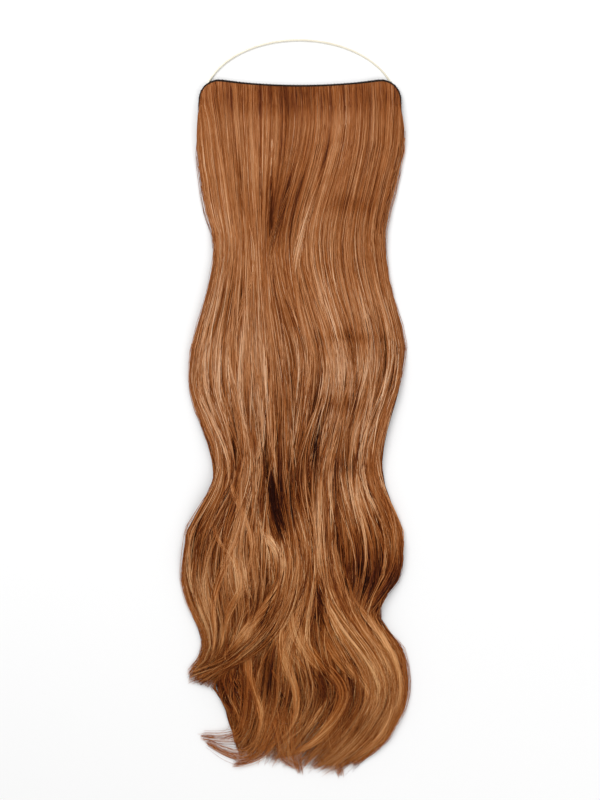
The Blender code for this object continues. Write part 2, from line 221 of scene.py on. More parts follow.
# Loose pointed wisps at the tips, each with its plan points in hundredths.
WISPS = (
    ((-50, 86.0), (-54, 92.0), (-62, 94.6), (-79, 95.2), (-97, 95.0)),
    ((-30, 90.0), (-38, 95.5), (-52, 97.6), (-74, 97.2), (-91, 95.8)),
    ((-22, 91.0), (-30, 96.0), (-45, 98.2), (-64, 99.1)),
    ((-12, 91.0), (-8, 96.0), (-3, 98.6), (0, 100.2)),
    ((30, 92.0), (34, 96.0), (38, 99.0), (40, 100.6)),
    ((-20, 92.0), (-17, 96.0), (-12, 98.4), (-2, 99.4)),
)

# Outline of the whole hair as it lies, in the same hundredths.
Edge = namedtuple("Edge", "level left right")
OUTLINE = [Edge(*row) for row in (
    (2.9, -100.5, 100),
    (6.1, -101.5, 103),
    (9.0, -101.5, 102),
    (12.0, -98.5, 97),
    (15.0, -95.5, 92),
    (18.2, -91.5, 86),
    (21.2, -85.5, 83),
    (24.4, -84.5, 84),
    (28.0, -88.5, 87),
    (31.0, -93.5, 92),
    (34.0, -99.5, 98),
    (38.0, -105.5, 103),
    (41.3, -107.5, 100),
    (44.0, -106.5, 97),
    (47.0, -101.5, 91),
    (50.0, -94.5, 85),
    (53.0, -87.5, 81),
    (56.0, -83.5, 80),
    (58.8, -88.5, 84),
    (61.5, -99.5, 92),
    (64.8, -111.5, 101),
    (69.1, -114.5, 101),
    (72.0, -115.5, 98),
    (74.7, -111.5, 83),
    (76.4, -107.5, 74),
    (77.9, -103, 80),
    (79.5, -97.5, 88),
    (82.0, -95.5, 100),
    (85.0, -107, 104),
    (87.3, -110, 106),
    (87.6, -90, 106),
    (88.2, -84, 106),
    (91.0, -71, 103),
    (94.0, -65, 92),
    (96.0, -62, 80),
    (98.0, -58, 66),
    (99.5, -50, 50),
)]

# How each group of guides is filled: strands and locks in it, how far its strands lie
# over the pile in millimetres, and how much lighter than the rest they are.
Group = namedtuple("Group", "name strands locks lift tone")
GROUPS = [Group(*row) for row in (
    ("under", 1650, 80, -0.8, -0.10),
    ("left", 2700, 150, 0.0, 0.02),
    ("middle", 2250, 110, 0.2, 0.0),
    ("right", 2650, 140, 0.0, 0.0),
    ("crossing", 1150, 60, 1.6, -0.03),
    ("sweep", 1750, 90, 1.6, 0.02),
)]

# Partings between locks, where the strands draw apart and sink and are painted dark as
# shade: where each starts and ends, across in hundredths of HAIR_SPREAD and down in
# hundredths of HAIR_DROP, with its half width in millimetres.
Parting = namedtuple("Parting", "across_0 level_0 across_1 level_1 width depth")
PARTINGS = [Parting(*row) for row in (
    (-27, 10.5, -30, 25.0, 1.0, 0.7),
    (-61, 8.5, -56, 19.0, 0.9, 0.6),
    (30, 7.0, 8, 20.5, 1.0, 0.6),
    (-8, 12.5, -25, 22.5, 1.1, 0.7),
    (6, 11.0, -12, 21.0, 0.9, 0.5),
    (-69, 48.5, -61, 56.5, 1.3, 0.8),
    (28, 45.5, 10, 54.5, 1.2, 0.7),
    (-29, 56.0, -16, 66.5, 3.0, 0.9),
    (8, 56.0, 12, 67.5, 1.2, 0.8),
    (-59, 59.0, -57, 63.5, 1.6, 0.7),
    (30, 63.5, 50, 71.5, 1.6, 0.8),
    (64, 60.0, 89, 66.5, 1.4, 0.7),
    (20, 71.0, 20, 81.0, 1.6, 0.8),
    (-38, 82.5, -24, 88.5, 1.6, 0.8),
    (45, 84.0, 54, 88.5, 1.4, 0.6),
)]

# Soft patches of painted light and shade on the hair, as places and reaches in the same hundredths. The sheens, glows
# and gloss are painted highlights, the low tips are lighter, and every darker patch (shades, hollows, crimps, ripples,
# gaps and places under locks) is painted shade.
PaintedLightPatch = namedtuple("PaintedLightPatch", "name across level reach_across reach_level tone")
PAINTED_LIGHT_PATCHES = [PaintedLightPatch(*row) for row in (
    ("shade under the band", 0, 1.0, 150, 3.6, -0.2),
    ("sheen below the band", 5, 7.4, 120, 3.0, -0.03),
    ("upper middle hollow", -22, 17.5, 30, 6.0, -0.15),
    ("first crimp", 48, 17.0, 34, 1.5, -0.12),
    ("right swell sheen", 48, 32.0, 42, 4.6, 0.10),
    ("second crimp", 46, 36.5, 36, 1.2, -0.15),
    ("swell sheen after the crimp", 52, 41.5, 40, 4.6, 0.14),
    ("ripple after the second crimp", 56, 38.8, 30, 0.8, -0.06),
    ("ripple before the third crimp", 52, 43.4, 32, 0.8, -0.06),
    ("third crimp", 36, 46.0, 30, 1.6, -0.16),
    ("left swell sheen", -90, 39.0, 26, 12.0, 0.14),
    ("left middle sheen", -52, 40.0, 22, 9.0, 0.10),
    ("neck hollow", -8, 57.0, 28, 6.0, -0.20),
    ("right neck sheen", 52, 60.0, 28, 4.6, 0.16),
    ("left lower sheen", -66, 71.0, 20, 3.6, 0.22),
    ("crossing sheen", -30, 66.8, 15, 3.4, 0.18),
    ("left rim sheen", -94, 76.0, 14, 6.0, 0.18),
    ("left bulge hollow", -92, 67.5, 22, 4.6, -0.16),
    ("crossing hollow", -38, 77.0, 14, 5.0, -0.16),
    ("right bulge hollow", 76, 71.5, 34, 7.0, -0.42),
    ("under the big lock", 16, 76.0, 12, 7.0, -0.26),
    ("heart sheen", -8, 82.5, 17, 5.0, 0.24),
    ("big lock sheen", 46, 78.0, 24, 4.4, 0.05),
    ("lower left hollow", -66, 88.5, 30, 6.0, -0.16),
    ("lower middle hollow", 32, 88.0, 24, 4.5, -0.2),
    ("lower right sheen", 84, 89.5, 22, 8.0, 0.09),
    ("gap beside the crossing lock", -22, 61.0, 17, 6.5, -0.24),
    ("hollow over the lock tip", -72, 83.0, 16, 3.0, -0.10),
    ("upper right shade", 40, 12.0, 60, 6.0, -0.04),
    ("left crossing hollow", -66, 58.5, 8, 7.0, -0.18),
    ("left bulge lower hollow", -84, 70.0, 8, 5.0, -0.12),
    ("right neck hollow", 14, 53.0, 12, 5.0, -0.18),
    ("below the crossing lock", -30, 84.5, 14, 5.0, -0.20),
    ("heart hollow", 22, 85.0, 10, 4.0, -0.20),
    ("right rim shade", 88, 62.0, 14, 4.0, -0.12),
    ("shade over the left sheen", -78, 63.0, 20, 2.6, -0.12),
    ("shade under the left sheen", -50, 75.5, 18, 2.8, -0.14),
    ("shade over the lock tip's edge", -98, 80.5, 14, 3.4, -0.10),
    ("sheen on the crossing lock", -48, 79.5, 22, 1.8, 0.12),
    ("right neck glow", 60, 49.5, 22, 2.6, 0.10),
    ("shade below the right neck", 50, 55.5, 26, 1.8, -0.12),
    ("low right gloss", 78, 84.5, 18, 3.0, 0.08),
    ("low right shade", 62, 94.0, 20, 2.6, -0.08),
    ("low tips", 20, 97.0, 90, 5.0, 0.08),
)]

SEED = 41
SAMPLES = 36
HEIGHT_GRID = (90, 268)
WISP_STRANDS = 44
FLOOR_DROP = 0.0002
LOWEST = 0.0003
PATCH_EDGE = 1.35

# Where the hair, which lies straight below the band, begins to wave, and over how far.
LOOSE_FROM = 8.0
LOOSE_OVER = 46.0

# Tone of a strand, from 0 for dark to 1 for pale: its middle, how far it varies between
# big locks, locks and strands, the share and lift of pale strands, and the shade painted into partings.
TONE_MIDDLE = 0.495
BIG_LOCK_TONES = 0.05
LOCK_TONES = 0.06
STRAND_TONES = 0.10
PALE_SHARE = 0.10
PALE_TONE = 0.16
PARTING_SHADE = 0.46


class HaloSettings(bpy.types.PropertyGroup):
    """Sizes and strengths that the halo hair operators use"""

    strand_width: FloatProperty(
        name="Strand width", description="Widest a strand's ribbon gets", default=0.00052, unit="LENGTH"
    )
    strand_share: FloatProperty(
        name="Strand share",
        description="Share of the full number of strands that is made",
        default=1.0,
        subtype="FACTOR",
    )
    flyaways: IntProperty(name="Flyaways", description="Number of loose hairs round the outline", default=330)
    roll: FloatProperty(
        name="Roll", description="How far a strand's ribbon may turn about its length", default=0.75, subtype="ANGLE"
    )
    pile_depth: FloatProperty(
        name="Pile depth",
        description="Depth below the top of the hair that strands fill",
        default=0.0040,
        unit="LENGTH",
    )
    stitch_pitch: FloatProperty(
        name="Stitch pitch", description="Distance between stitches on the band", default=0.0030, unit="LENGTH"
    )
    lens: FloatProperty(name="Lens", description="Focal length of the camera in millimetres", default=100.0)


def settings():
    return bpy.context.scene.halo_hair


def level_of(y):
    """Level down the hair of a place on +Y, in hundredths of HAIR_DROP."""
    return -y / HAIR_DROP * 100


def smooth_step(x):
    x = np.clip(x, 0.0, 1.0)
    return x * x * (3.0 - 2.0 * x)


def spline_weights(knots, places):
    """Matrix that reads the natural cubic curve through values at knots, at some places."""
    count = len(knots)
    step = np.diff(knots)
    left, right = np.zeros((count, count)), np.zeros((count, count))
    left[0, 0] = left[-1, -1] = 1.0
    for i in range(1, count - 1):
        left[i, i - 1 : i + 2] = step[i - 1], 2 * (step[i - 1] + step[i]), step[i]
        right[i, i - 1 : i + 2] = 6 / step[i - 1], -6 / step[i - 1] - 6 / step[i], 6 / step[i]
    bend = np.linalg.solve(left, right)
    i = np.clip(np.searchsorted(knots, places, side="right") - 1, 0, count - 2)
    after, before = (places - knots[i])[:, None], (knots[i + 1] - places)[:, None]
    wide, unit = step[i][:, None], np.eye(count)
    return (
        bend[i] * before**3 / (6 * wide)
        + bend[i + 1] * after**3 / (6 * wide)
        + (unit[i] / wide - bend[i] * wide / 6) * before
        + (unit[i + 1] / wide - bend[i + 1] * wide / 6) * after
    )


def chord_knots(points):
    """Share of the way along some points at which each one comes."""
    chord = np.concatenate(([0.0], np.cumsum(np.linalg.norm(np.diff(points, axis=0), axis=1))))
    return chord / chord[-1]


def along_curve(points, places):
    """Plan points on the smooth curve through some points, at shares of its length."""
    return spline_weights(chord_knots(points), places) @ points


def in_plan(rows):
    """Plan points of rows that are given across and down in hundredths."""
    return np.array(rows) / 100 * (HAIR_SPREAD, -HAIR_DROP)


def looseness(level):
    """How freely the hair waves at a level, from 0 at the band to 1."""
    return smooth_step((level - LOOSE_FROM) / LOOSE_OVER)


def wander(random, count, knots, samples=SAMPLES):
    """Smooth random curves of about unit size, one a row, each of which starts anywhere."""
    weights = spline_weights(np.linspace(0, 1, knots), np.linspace(0, 1, samples))
    return random.normal(size=(count, knots)) @ weights.T


def band_rise():
    """Angle at which the band climbs where a corner begins."""
    return math.atan(2 * BAND_BOW / bowed_half())


def bowed_half():
    """Length along the band from its middle to where a corner begins."""
    return BAND_SPAN / 2 - BAND_CORNER_RADIUS


def band_half_length():
    """Length along the band from its middle to the end of one tail."""
    return bowed_half() + BAND_CORNER_RADIUS * (math.pi / 2 + band_rise()) + BAND_TAIL


def band_point(share):
    """Centre line of the band in plan at a share of its half length: (point, outward)."""
    side = -1.0 if share < 0 else 1.0
    travelled = abs(share) * band_half_length()
    half = bowed_half()
    across = min(travelled / half, 1.0)
    point = Vector((across * half, BAND_BOW * across**2))
    heading = math.atan(2 * BAND_BOW / half * across)
    if travelled > half:
        rise = band_rise()
        turned = min((travelled - half) / BAND_CORNER_RADIUS, math.pi / 2 + rise)
        centre = point + BAND_CORNER_RADIUS * Vector((math.sin(rise), -math.cos(rise)))
        heading = rise - turned
        point = centre + BAND_CORNER_RADIUS * Vector((-math.sin(heading), math.cos(heading)))
        tail = travelled - half - BAND_CORNER_RADIUS * turned
        point += tail * Vector((math.cos(heading), math.sin(heading)))
    return Vector((side * point.x, point.y)), Vector((-side * math.sin(heading), math.cos(heading)))


class Pile:
    """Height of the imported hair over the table, read on a grid and smoothed."""

    def __init__(self, node):
        mesh = node.data
        tree = BVHTree.FromPolygons(
            [node.matrix_world @ v.co for v in mesh.vertices], [tuple(p.vertices) for p in mesh.polygons]
        )
        low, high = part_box(node.name)
        self.low = np.array([low[0] - 0.02, low[1] - 0.02])
        self.step = (np.array([high[0] + 0.02, high[1] + 0.02]) - self.low) / (np.array(HEIGHT_GRID) - 1)
        heights = np.zeros(HEIGHT_GRID)
        for i in range(HEIGHT_GRID[0]):
            for j in range(HEIGHT_GRID[1]):
                x, y = self.low + self.step * (i, j)
                hit = tree.ray_cast(Vector((x, y, 0.1)), Vector((0, 0, -1)))[0]
                heights[i, j] = hit.z if hit else 0.0
        self.covered = heights > 0.001
        for _ in range(2):
            for axis in (0, 1):
                heights = (np.roll(heights, 1, axis) + 2 * heights + np.roll(heights, -1, axis)) / 4
        self.heights = heights

    def at(self, x, y):
        """Height at places, by reading between the grid's points."""
        i = np.clip((x - self.low[0]) / self.step[0], 0, HEIGHT_GRID[0] - 1.001)
        j = np.clip((y - self.low[1]) / self.step[1], 0, HEIGHT_GRID[1] - 1.001)
        a, b = i.astype(int), j.astype(int)
        u, v = i - a, j - b
        h = self.heights
        near = h[a, b] * (1 - u) + h[a + 1, b] * u
        far = h[a, b + 1] * (1 - u) + h[a + 1, b + 1] * u
        return near * (1 - v) + far * v

    def edges(self, y):
        """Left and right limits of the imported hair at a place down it."""
        j = int(np.clip(round((y - self.low[1]) / self.step[1]), 0, HEIGHT_GRID[1] - 1))
        found = np.nonzero(self.covered[:, j])[0]
        return self.low[0] + self.step[0] * found[0], self.low[0] + self.step[0] * found[-1]


def root_points(shares):
    """Plan points on the band from which strands hang, for many shares at once."""
    table = np.linspace(-1.0, 1.0, 401)
    points = []
    for share in table:
        centre, outward = band_point(float(share))
        points.append(tuple(centre + outward * (BAND_HEIGHT / 2 - ROOT_SET_BACK)))
    points = np.array(points)
    return np.stack([np.interp(shares, table, points[:, k]) for k in (0, 1)], -1)


def guide_points(name):
    """A group's guides below the band as plan points, one row a guide, from the top down."""
    rows = []
    for guide in GUIDES[name]:
        row = [(getattr(guide, key), level) for key, level in LEVELS.items() if getattr(guide, key) is not None]
        rows.append(row + [(guide.tip_across, guide.tip_level)])
    return in_plan(rows)


def routes(name, places):
    """Plan points of routes that run between a group's guides, from band to tip."""
    points = guide_points(name)
    i = np.clip(places.astype(int), 0, len(points) - 2)
    share = (places - i)[:, None, None]
    found = points[i] * (1 - share) + points[i + 1] * share
    roots = [guide.root for guide in GUIDES[name]]
    if roots[0] is None:
        return found
    start = root_points(np.interp(places, np.arange(len(roots)), roots))
    return np.concatenate((start[:, None], found), 1)


def part_hair(x, y):
    """Moves places away from the partings, and says how deep in one each place was."""
    shift, deep = np.zeros_like(x), np.zeros_like(x)
    level = level_of(y)
    for row in PARTINGS:
        share = (level - row.level_0) / (row.level_1 - row.level_0)
        middle = (row.across_0 + (row.across_1 - row.across_0) * share) / 100 * HAIR_SPREAD
        inside = smooth_step(np.minimum(share, 1 - share) * 2.5 + 0.2)
        away = (x - middle) / (row.width / 1000)
        near = np.exp(-(away**2) / 2) * inside * row.depth
        shift += np.where(away < 0, -1, 1) * near * row.width / 1000 * 0.7 * (1 - np.exp(-np.abs(away) * 3))
        deep = np.maximum(deep, near)
    return x + shift, deep


def fit_outline(x, y, envelope):
    """Moves the outer hair so that its edge follows OUTLINE, and keeps the inner hair."""
    levels, left, right = np.array(OUTLINE).T
    level = level_of(y)
    for side, wanted, last in ((-1, left, 84.0), (1, right, 93.0)):
        edge = np.interp(level, levels, wanted) / 100 * HAIR_SPREAD
        found = np.interp(level, envelope[0], envelope[1 if side < 0 else 2])
        share = smooth_step((x / found - 0.5) / 0.5) * (1 - smooth_step((level - last) / 3.0))
        share = share * smooth_step((level - 1.5) / 3.5)
        x = x + (edge - found) * share
        over = np.maximum(side * (x - edge), 0.0)
        x = x - side * over * 0.70 * smooth_step((level - 1.5) / 3.5)
    return x


def hair_envelope(plans):
    """Edges that the guides give the hair: (levels, left, right)."""
    x = np.concatenate([plan["line"][..., 0].ravel() for plan in plans])
    level = level_of(np.concatenate([plan["line"][..., 1].ravel() for plan in plans]))
    levels = np.arange(0.5, 100.0, 1.5)
    edges = []
    for middle in levels:
        near = x[np.abs(level - middle) < 1.6]
        edges.append((np.quantile(near, 0.004), np.quantile(near, 0.996)) if len(near) > 50 else (-0.09, 0.09))
    return levels, *np.array(edges).T


def plan_strands(group):
    """Where one group's strands lie in plan, and which lock each one is in."""
    random = np.random.default_rng(SEED + len(group.name) * 7 + group.strands)
    count = int(group.strands * settings().strand_share)
    top = len(GUIDES[group.name]) - 1
    big = max(group.locks // 7, 3)
    big_at = (np.arange(big) + random.uniform(0.2, 0.8, big)) / big * top
    lock_at = (np.arange(group.locks) + random.uniform(0.0, 1.0, group.locks)) / group.locks * top
    lock_big = np.abs(lock_at[:, None] - big_at[None, :]).argmin(1)
    lock = random.integers(0, group.locks, count)
    offset = random.normal(size=count)
    own_at = np.clip(lock_at[lock] + offset * top / group.locks * 1.1, 0, top)

    knots = chord_knots(routes(group.name, own_at).mean(0))
    t = np.linspace(0, 1, SAMPLES)
    reach = 1 - (0.16 if group.name != "crossing" else 0.08) * random.beta(1.2, 3.0, count)
    own, lock_line, big_line = (
        np.einsum("sk,nkd->nsd", spline_weights(knots, t), routes(group.name, at)) for at in (own_at, lock_at, big_at)
    )
    level = level_of(lock_line[..., 1].mean(0))
    loose = looseness(level)
    gather_big = (0.05 + 0.45 * loose)[None, :, None]
    lock_line = lock_line * (1 - gather_big) + big_line[lock_big] * gather_big
    lock_line[..., 0] += wander(random, group.locks, 10) * (0.0004 + 0.0036 * loose)
    lock_line[..., 1] += wander(random, group.locks, 5) * 0.004 * loose
    lock_line[..., 0] += (wander(random, big, 7) * (0.0002 + 0.0036 * loose))[lock_big]
    gather = (0.15 + 0.58 * loose)[None, :, None]
    line = own * (1 - gather) + lock_line[lock] * gather
    line[..., 0] += wander(random, count, 17) * (0.0004 + 0.0007 * loose)

    # Each strand ends at its own place, so its samples are spread again over its length.
    where = reach[:, None] * t[None, :] * (SAMPLES - 1)
    before = np.minimum(where.astype(int), SAMPLES - 2)
    part = (where - before)[..., None]
    rows = np.arange(count)[:, None]
    line = line[rows, before] * (1 - part) + line[rows, before + 1] * part
    return {
        "group": group,
        "line": line,
        "lock": lock,
        "big": lock_big[lock],
        "offset": offset,
        "loose": looseness(level_of(line[..., 1])),
        "random": random,
    }


def lay_strands(plan, pile, envelope):
    """Heights, tones and widths of one group's strands on the pile."""
    opts = settings()
    group, random, lock, big, offset = (plan[key] for key in ("group", "random", "lock", "big", "offset"))
    line, loose = plan["line"], plan["loose"]
    count, t = len(line), np.linspace(0, 1, SAMPLES)
    x, deep = part_hair(fit_outline(line[..., 0], line[..., 1], envelope), line[..., 1])
    y = line[..., 1]
    level = level_of(y)
    depth = random.beta(1.2, 2.4, count)
    rim = np.minimum(offset**2, 4)[:, None]
    swell = wander(random, group.locks, 11)[lock] * 0.0009 * (0.15 + loose)
    z = pile.at(x, y) + group.lift / 1000 * smooth_step((loose - 0.25) * 2.5) + swell
    z -= depth[:, None] * opts.pile_depth + rim * 0.0005 * (0.2 + loose) + deep * 0.0030
    z += wander(random, count, 13) * 0.00018
    rooted = smooth_step((3.2 - level) / 2.2)
    z = z * (1 - rooted) + np.maximum(z, 0.0050 + 0.0009 * (1 - depth[:, None])) * rooted
    z = np.maximum(z, 0.0006 + 0.0016 * (1 - depth[:, None]))

    tone = TONE_MIDDLE + group.tone + BIG_LOCK_TONES * random.normal(size=group.locks)[big][:, None]
    tone = tone + LOCK_TONES * random.normal(size=group.locks)[lock][:, None] * (0.7 + 0.6 * loose)
    tone = tone + STRAND_TONES * random.normal(size=count)[:, None] * (0.75 + 0.5 * loose)
    # The last term paints bands of highlight and shade at random along each lock, for the light and dark of its waves.
    tone = tone + 0.05 * wander(random, count, 9) + 0.15 * loose * wander(random, group.locks, 12)[lock]
    tone = tone + PALE_TONE * (random.uniform(size=count) < PALE_SHARE)[:, None]
    # Painted light and shade: locks that swell higher are painted lighter, strands at a lock's rim and in partings are
    # painted darker, and strands deeper in the pile are painted darker still.
    tone = tone + 60 * swell - 0.035 * rim * (0.3 + loose) - PARTING_SHADE * deep
    tone = tone - (0.34 + 0.10 * loose) * depth[:, None]
    width = opts.strand_width * random.uniform(0.6, 1.0, count)[:, None]
    width = width * (1 - 0.75 * smooth_step((t - 0.72) / 0.28))
    return np.stack((x, y, z), -1), tone, width


def accent_strands(pile):
    """Single twisted locks that lie over the rest of the hair."""
    random = np.random.default_rng(SEED + 500)
    t = np.linspace(0, 1, SAMPLES)
    lines, tones, widths = [], [], []
    for row in ACCENTS:
        first = random.uniform(0.0, 0.16, row.strands)[:, None]
        last = 1 - random.beta(1.2, 4.0, row.strands)[:, None] * 0.25
        place = first + (last - first) * t
        path = along_curve(in_plan(row.points), place.ravel()).reshape(row.strands, SAMPLES, 2)
        along = np.gradient(path, axis=1)
        along /= np.linalg.norm(along, axis=2, keepdims=True)
        side = np.stack((-along[..., 1], along[..., 0]), -1)
        angle, radius = random.uniform(0, 2 * math.pi, (row.strands, 1)), random.uniform(0, 1, (row.strands, 1)) ** 0.5
        angle = angle + random.uniform(0.8, 1.6) * math.pi * place
        body = 0.35 + 0.65 * smooth_step(place * 3.5) - 0.75 * smooth_step((place - 0.55) / 0.45)
        across = radius * np.cos(angle) * row.width / 2000 * body
        over = radius * np.sin(angle)
        flat = path + side * (across + wander(random, row.strands, 11) * 0.0004)[..., None]
        rise = smooth_step(place * 4.0) * (1 - 0.6 * smooth_step((place - 0.8) / 0.2))
        z = pile.at(flat[..., 0], flat[..., 1]) - 0.0012 + row.lift / 1000 * rise + over * 0.0012 * body
        z = z - (1 - rise) * 0.0010 - np.abs(radius * np.cos(angle)) ** 2 * 0.0008
        lines.append(np.concatenate((flat, np.maximum(z, 0.0012)[..., None]), -1))
        # Painted light and shade: strands on top of the twisted lock are painted lighter, those at its sides darker,
        # and the lock's ends, where it sinks into the pile, darker still.
        tone = 0.5 + row.tone + 0.12 * over - 0.10 * (radius * np.cos(angle)) ** 2
        tone = tone - 0.26 * (1 - rise)
        tones.append(tone + 0.11 * random.normal(size=(row.strands, 1)) + 0.10 * wander(random, 1, 7))
        width = settings().strand_width * random.uniform(0.6, 1.0, (row.strands, 1))
        widths.append(width * (0.5 + 0.5 * smooth_step(place * 8)) * (1 - 0.75 * smooth_step((t - 0.7) / 0.3)))
    return np.concatenate(lines), np.concatenate(tones), np.concatenate(widths)


def flyaway_strands(pile, envelope):
    """Loose hairs that stand off the outline and the tips, and the pointed wisps."""
    random = np.random.default_rng(SEED + 900)
    t = np.linspace(0, 1, SAMPLES)
    lines = []
    for k in range(settings().flyaways):
        name = ("left", "right", "sweep", "middle", "right", "left", "right")[k % 7]
        top = len(GUIDES[name]) - 1
        at = {"left": random.uniform(0, 0.5), "right": top - random.uniform(0, 0.5)}.get(name, random.uniform(0, top))
        route = routes(name, np.array([at]))[0]
        begin = random.uniform(0.0, 0.72) if name in ("left", "right") else random.uniform(0.55, 0.75)
        end = min(begin + random.uniform(0.16, 0.34), 1.0) if k % 3 else 1.0
        lines.append(along_curve(route, begin + (end - begin) * t))
    line = np.array(lines)
    count = len(line)
    line[..., 0] = fit_outline(line[..., 0], line[..., 1], envelope)
    side = np.sign(line[:, :1, 0] + 1e-9)
    bow = np.sin(t * math.pi * random.uniform(0.6, 1.0, (count, 1))) * random.uniform(0.0, 0.0030, (count, 1))
    line[..., 0] += side * bow + wander(random, count, 5) * 0.0009
    line[..., 1] += wander(random, count, 4) * 0.0015
    for wisp in WISPS:
        fan = random.normal(size=(WISP_STRANDS, 1, 2)) * (0.0046 * (1 - t) + 0.0013)[None, :, None]
        own = along_curve(in_plan(wisp), t) + fan + wander(random, WISP_STRANDS, 4)[..., None] * 0.0006
        line = np.concatenate((line, own))
    count = len(line)
    z = pile.at(line[..., 0], line[..., 1]) + random.uniform(0.0, 0.0008, (count, 1))
    z = np.maximum(z, 0.0012 + np.abs(wander(random, count, 5)) * 0.0008)
    tone = np.broadcast_to(0.42 + 0.12 * random.normal(size=(count, 1)), z.shape)
    width = np.full_like(z, 0.00040) * (1 - 0.6 * t)
    return np.concatenate((line, z[..., None]), -1), tone, width


def ribbon_mesh(name, lines, tones, widths, roll):
    """One mesh of narrow ribbons along centre lines, with its tones and two maps."""
    count, samples = lines.shape[:2]
    random = np.random.default_rng(SEED + len(name))
    along = np.gradient(lines, axis=1)
    along /= np.maximum(np.linalg.norm(along, axis=2, keepdims=True), 1e-9)
    side = np.cross(along, (0.0, 0.0, 1.0))
    side /= np.maximum(np.linalg.norm(side, axis=2, keepdims=True), 1e-9)
    up = np.cross(side, along)
    turn = random.uniform(-roll, roll, (count, 1)) + 0.25 * wander(random, count, 6, samples)
    half = (side * np.cos(turn)[..., None] + up * np.sin(turn)[..., None]) * widths[..., None] / 2
    points = np.stack((lines - half, lines + half), 2).reshape(-1, 3)
    points[:, 2] = np.maximum(points[:, 2], LOWEST)

    first = (np.arange(count)[:, None] * samples + np.arange(samples - 1)[None, :]).ravel() * 2
    quads = np.stack((first, first + 2, first + 3, first + 1), 1)
    mesh = bpy.data.meshes.new(name)
    mesh.vertices.add(len(points))
    mesh.vertices.foreach_set("co", points.astype(np.float32).ravel())
    mesh.loops.add(quads.size)
    mesh.loops.foreach_set("vertex_index", quads.astype(np.int32).ravel())
    mesh.polygons.add(len(quads))
    mesh.polygons.foreach_set("loop_start", np.arange(0, quads.size, 4, dtype=np.int32))
    mesh.polygons.foreach_set("use_smooth", np.ones(len(quads), dtype=bool))
    mesh.update(calc_edges=True)

    tone = mesh.attributes.new("tone", "FLOAT", "POINT")
    tone.data.foreach_set("value", np.repeat(np.clip(tones, 0, 1), 2).astype(np.float32))
    column = np.repeat(np.arange(count), samples * 2)
    edge = np.tile((0.0, 1.0), count * samples)
    down = np.tile(np.repeat(np.linspace(0, 1, samples), 2), count)
    flow = np.stack((column * 0.37 + edge * 0.1, down), 1)
    per_row = 460
    rows = -(-count // per_row)
    sheet_u = (column % per_row + 0.15 + 0.7 * edge) / per_row
    sheet_v = (column // per_row + 0.01 + 0.98 * down) / rows
    for label, values in (("flow", flow), ("OFBake", np.stack((sheet_u, sheet_v), 1))):
        layer = mesh.uv_layers.new(name=label)
        layer.data.foreach_set("uv", values[quads.ravel()].astype(np.float32).ravel())
    return add_object(name, mesh)


def add_object(name, data):
    """A new object at the origin, in the scene."""
    thing = bpy.data.objects.new(name, data)
    bpy.context.scene.collection.objects.link(thing)
    return thing


def set_sockets(node, sockets):
    for key, value in sockets.items():
        node.inputs[key.replace("_", " ")].default_value = value


def add_node(tree, kind, **sockets):
    node = tree.nodes.new(kind)
    set_sockets(node, sockets)
    return node


def join(tree, *links):
    """Links nodes; each link is a node and its output, then a node and its input."""
    for source, output, target, socket in links:
        tree.links.new(source.outputs[output], target.inputs[socket])


def add_ramp(tree, *stops):
    """A colour ramp with a stop for each place and colour."""
    ramp = tree.nodes.new("ShaderNodeValToRGB")
    for k, (place, colour) in enumerate(stops):
        stop = ramp.color_ramp.elements[k] if k < 2 else ramp.color_ramp.elements.new(place)
        stop.position, stop.color = place, (*colour, 1.0)
    return ramp


def new_material(name, **sockets):
    """A material with its node tree and shader, some of whose sockets are set."""
    material = bpy.data.materials.new(name)
    material.use_nodes = True
    shader = material.node_tree.nodes["Principled BSDF"]
    set_sockets(shader, sockets)
    return material, material.node_tree, shader


def mottled_material(name, pattern, dark, light, **sockets):
    """Two colours mixed by a fine pattern, which is a kind of texture node and its sockets."""
    material, tree, shader = new_material(name, **sockets)
    place = tree.nodes.new("ShaderNodeTexCoord")
    kind, values = pattern
    mottle = add_node(tree, kind, **values)
    ramp = add_ramp(tree, (0.0, dark), (1.0, light))
    join(
        tree,
        (place, "Object", mottle, "Vector"),
        (mottle, "Fac", ramp, "Fac"),
        (ramp, "Color", shader, "Base Color"),
    )
    return material


def painted_light_places(tree):
    """Painted highlight and shade of the soft patches at each place, ragged along the hair, as a node and its output.
    """
    place = tree.nodes.new("ShaderNodeTexCoord")
    squeeze = add_node(tree, "ShaderNodeMapping", Scale=(520.0, 26.0, 26.0))
    ragged = add_node(tree, "ShaderNodeTexNoise", Scale=1.0, Detail=2.0)
    wobble = add_node(tree, "ShaderNodeMapping", Location=(-0.012, -0.011, 0.0), Scale=(0.024, 0.022, 0.0))
    moved = tree.nodes.new("ShaderNodeVectorMath")
    join(
        tree,
        (place, "Object", squeeze, "Vector"),
        (squeeze, "Vector", ragged, "Vector"),
        (ragged, "Color", wobble, "Vector"),
        (place, "Object", moved, 0),
        (wobble, "Vector", moved, 1),
    )
    total = None
    for row in PAINTED_LIGHT_PATCHES:
        scale = (100 / (row.reach_across * HAIR_SPREAD), 100 / (row.reach_level * HAIR_DROP), 0.0)
        middle = (row.across / 100 * HAIR_SPREAD, -row.level / 100 * HAIR_DROP)
        shift = (-middle[0] * scale[0], -middle[1] * scale[1], 0.0)
        near = add_node(tree, "ShaderNodeMapping", Scale=scale, Location=shift)
        far = tree.nodes.new("ShaderNodeVectorMath")
        far.operation = "LENGTH"
        fade = add_node(tree, "ShaderNodeMapRange", From_Max=PATCH_EDGE, To_Min=row.tone, To_Max=0.0)
        fade.interpolation_type = "SMOOTHSTEP"
        join(tree, (moved, "Vector", near, "Vector"), (near, "Vector", far, 0), (far, "Value", fade, "Value"))
        if total:
            add = tree.nodes.new("ShaderNodeMath")
            join(tree, (*total, add, 0), (fade, "Result", add, 1))
            total = (add, "Value")
        else:
            total = (fade, "Result")
    return total


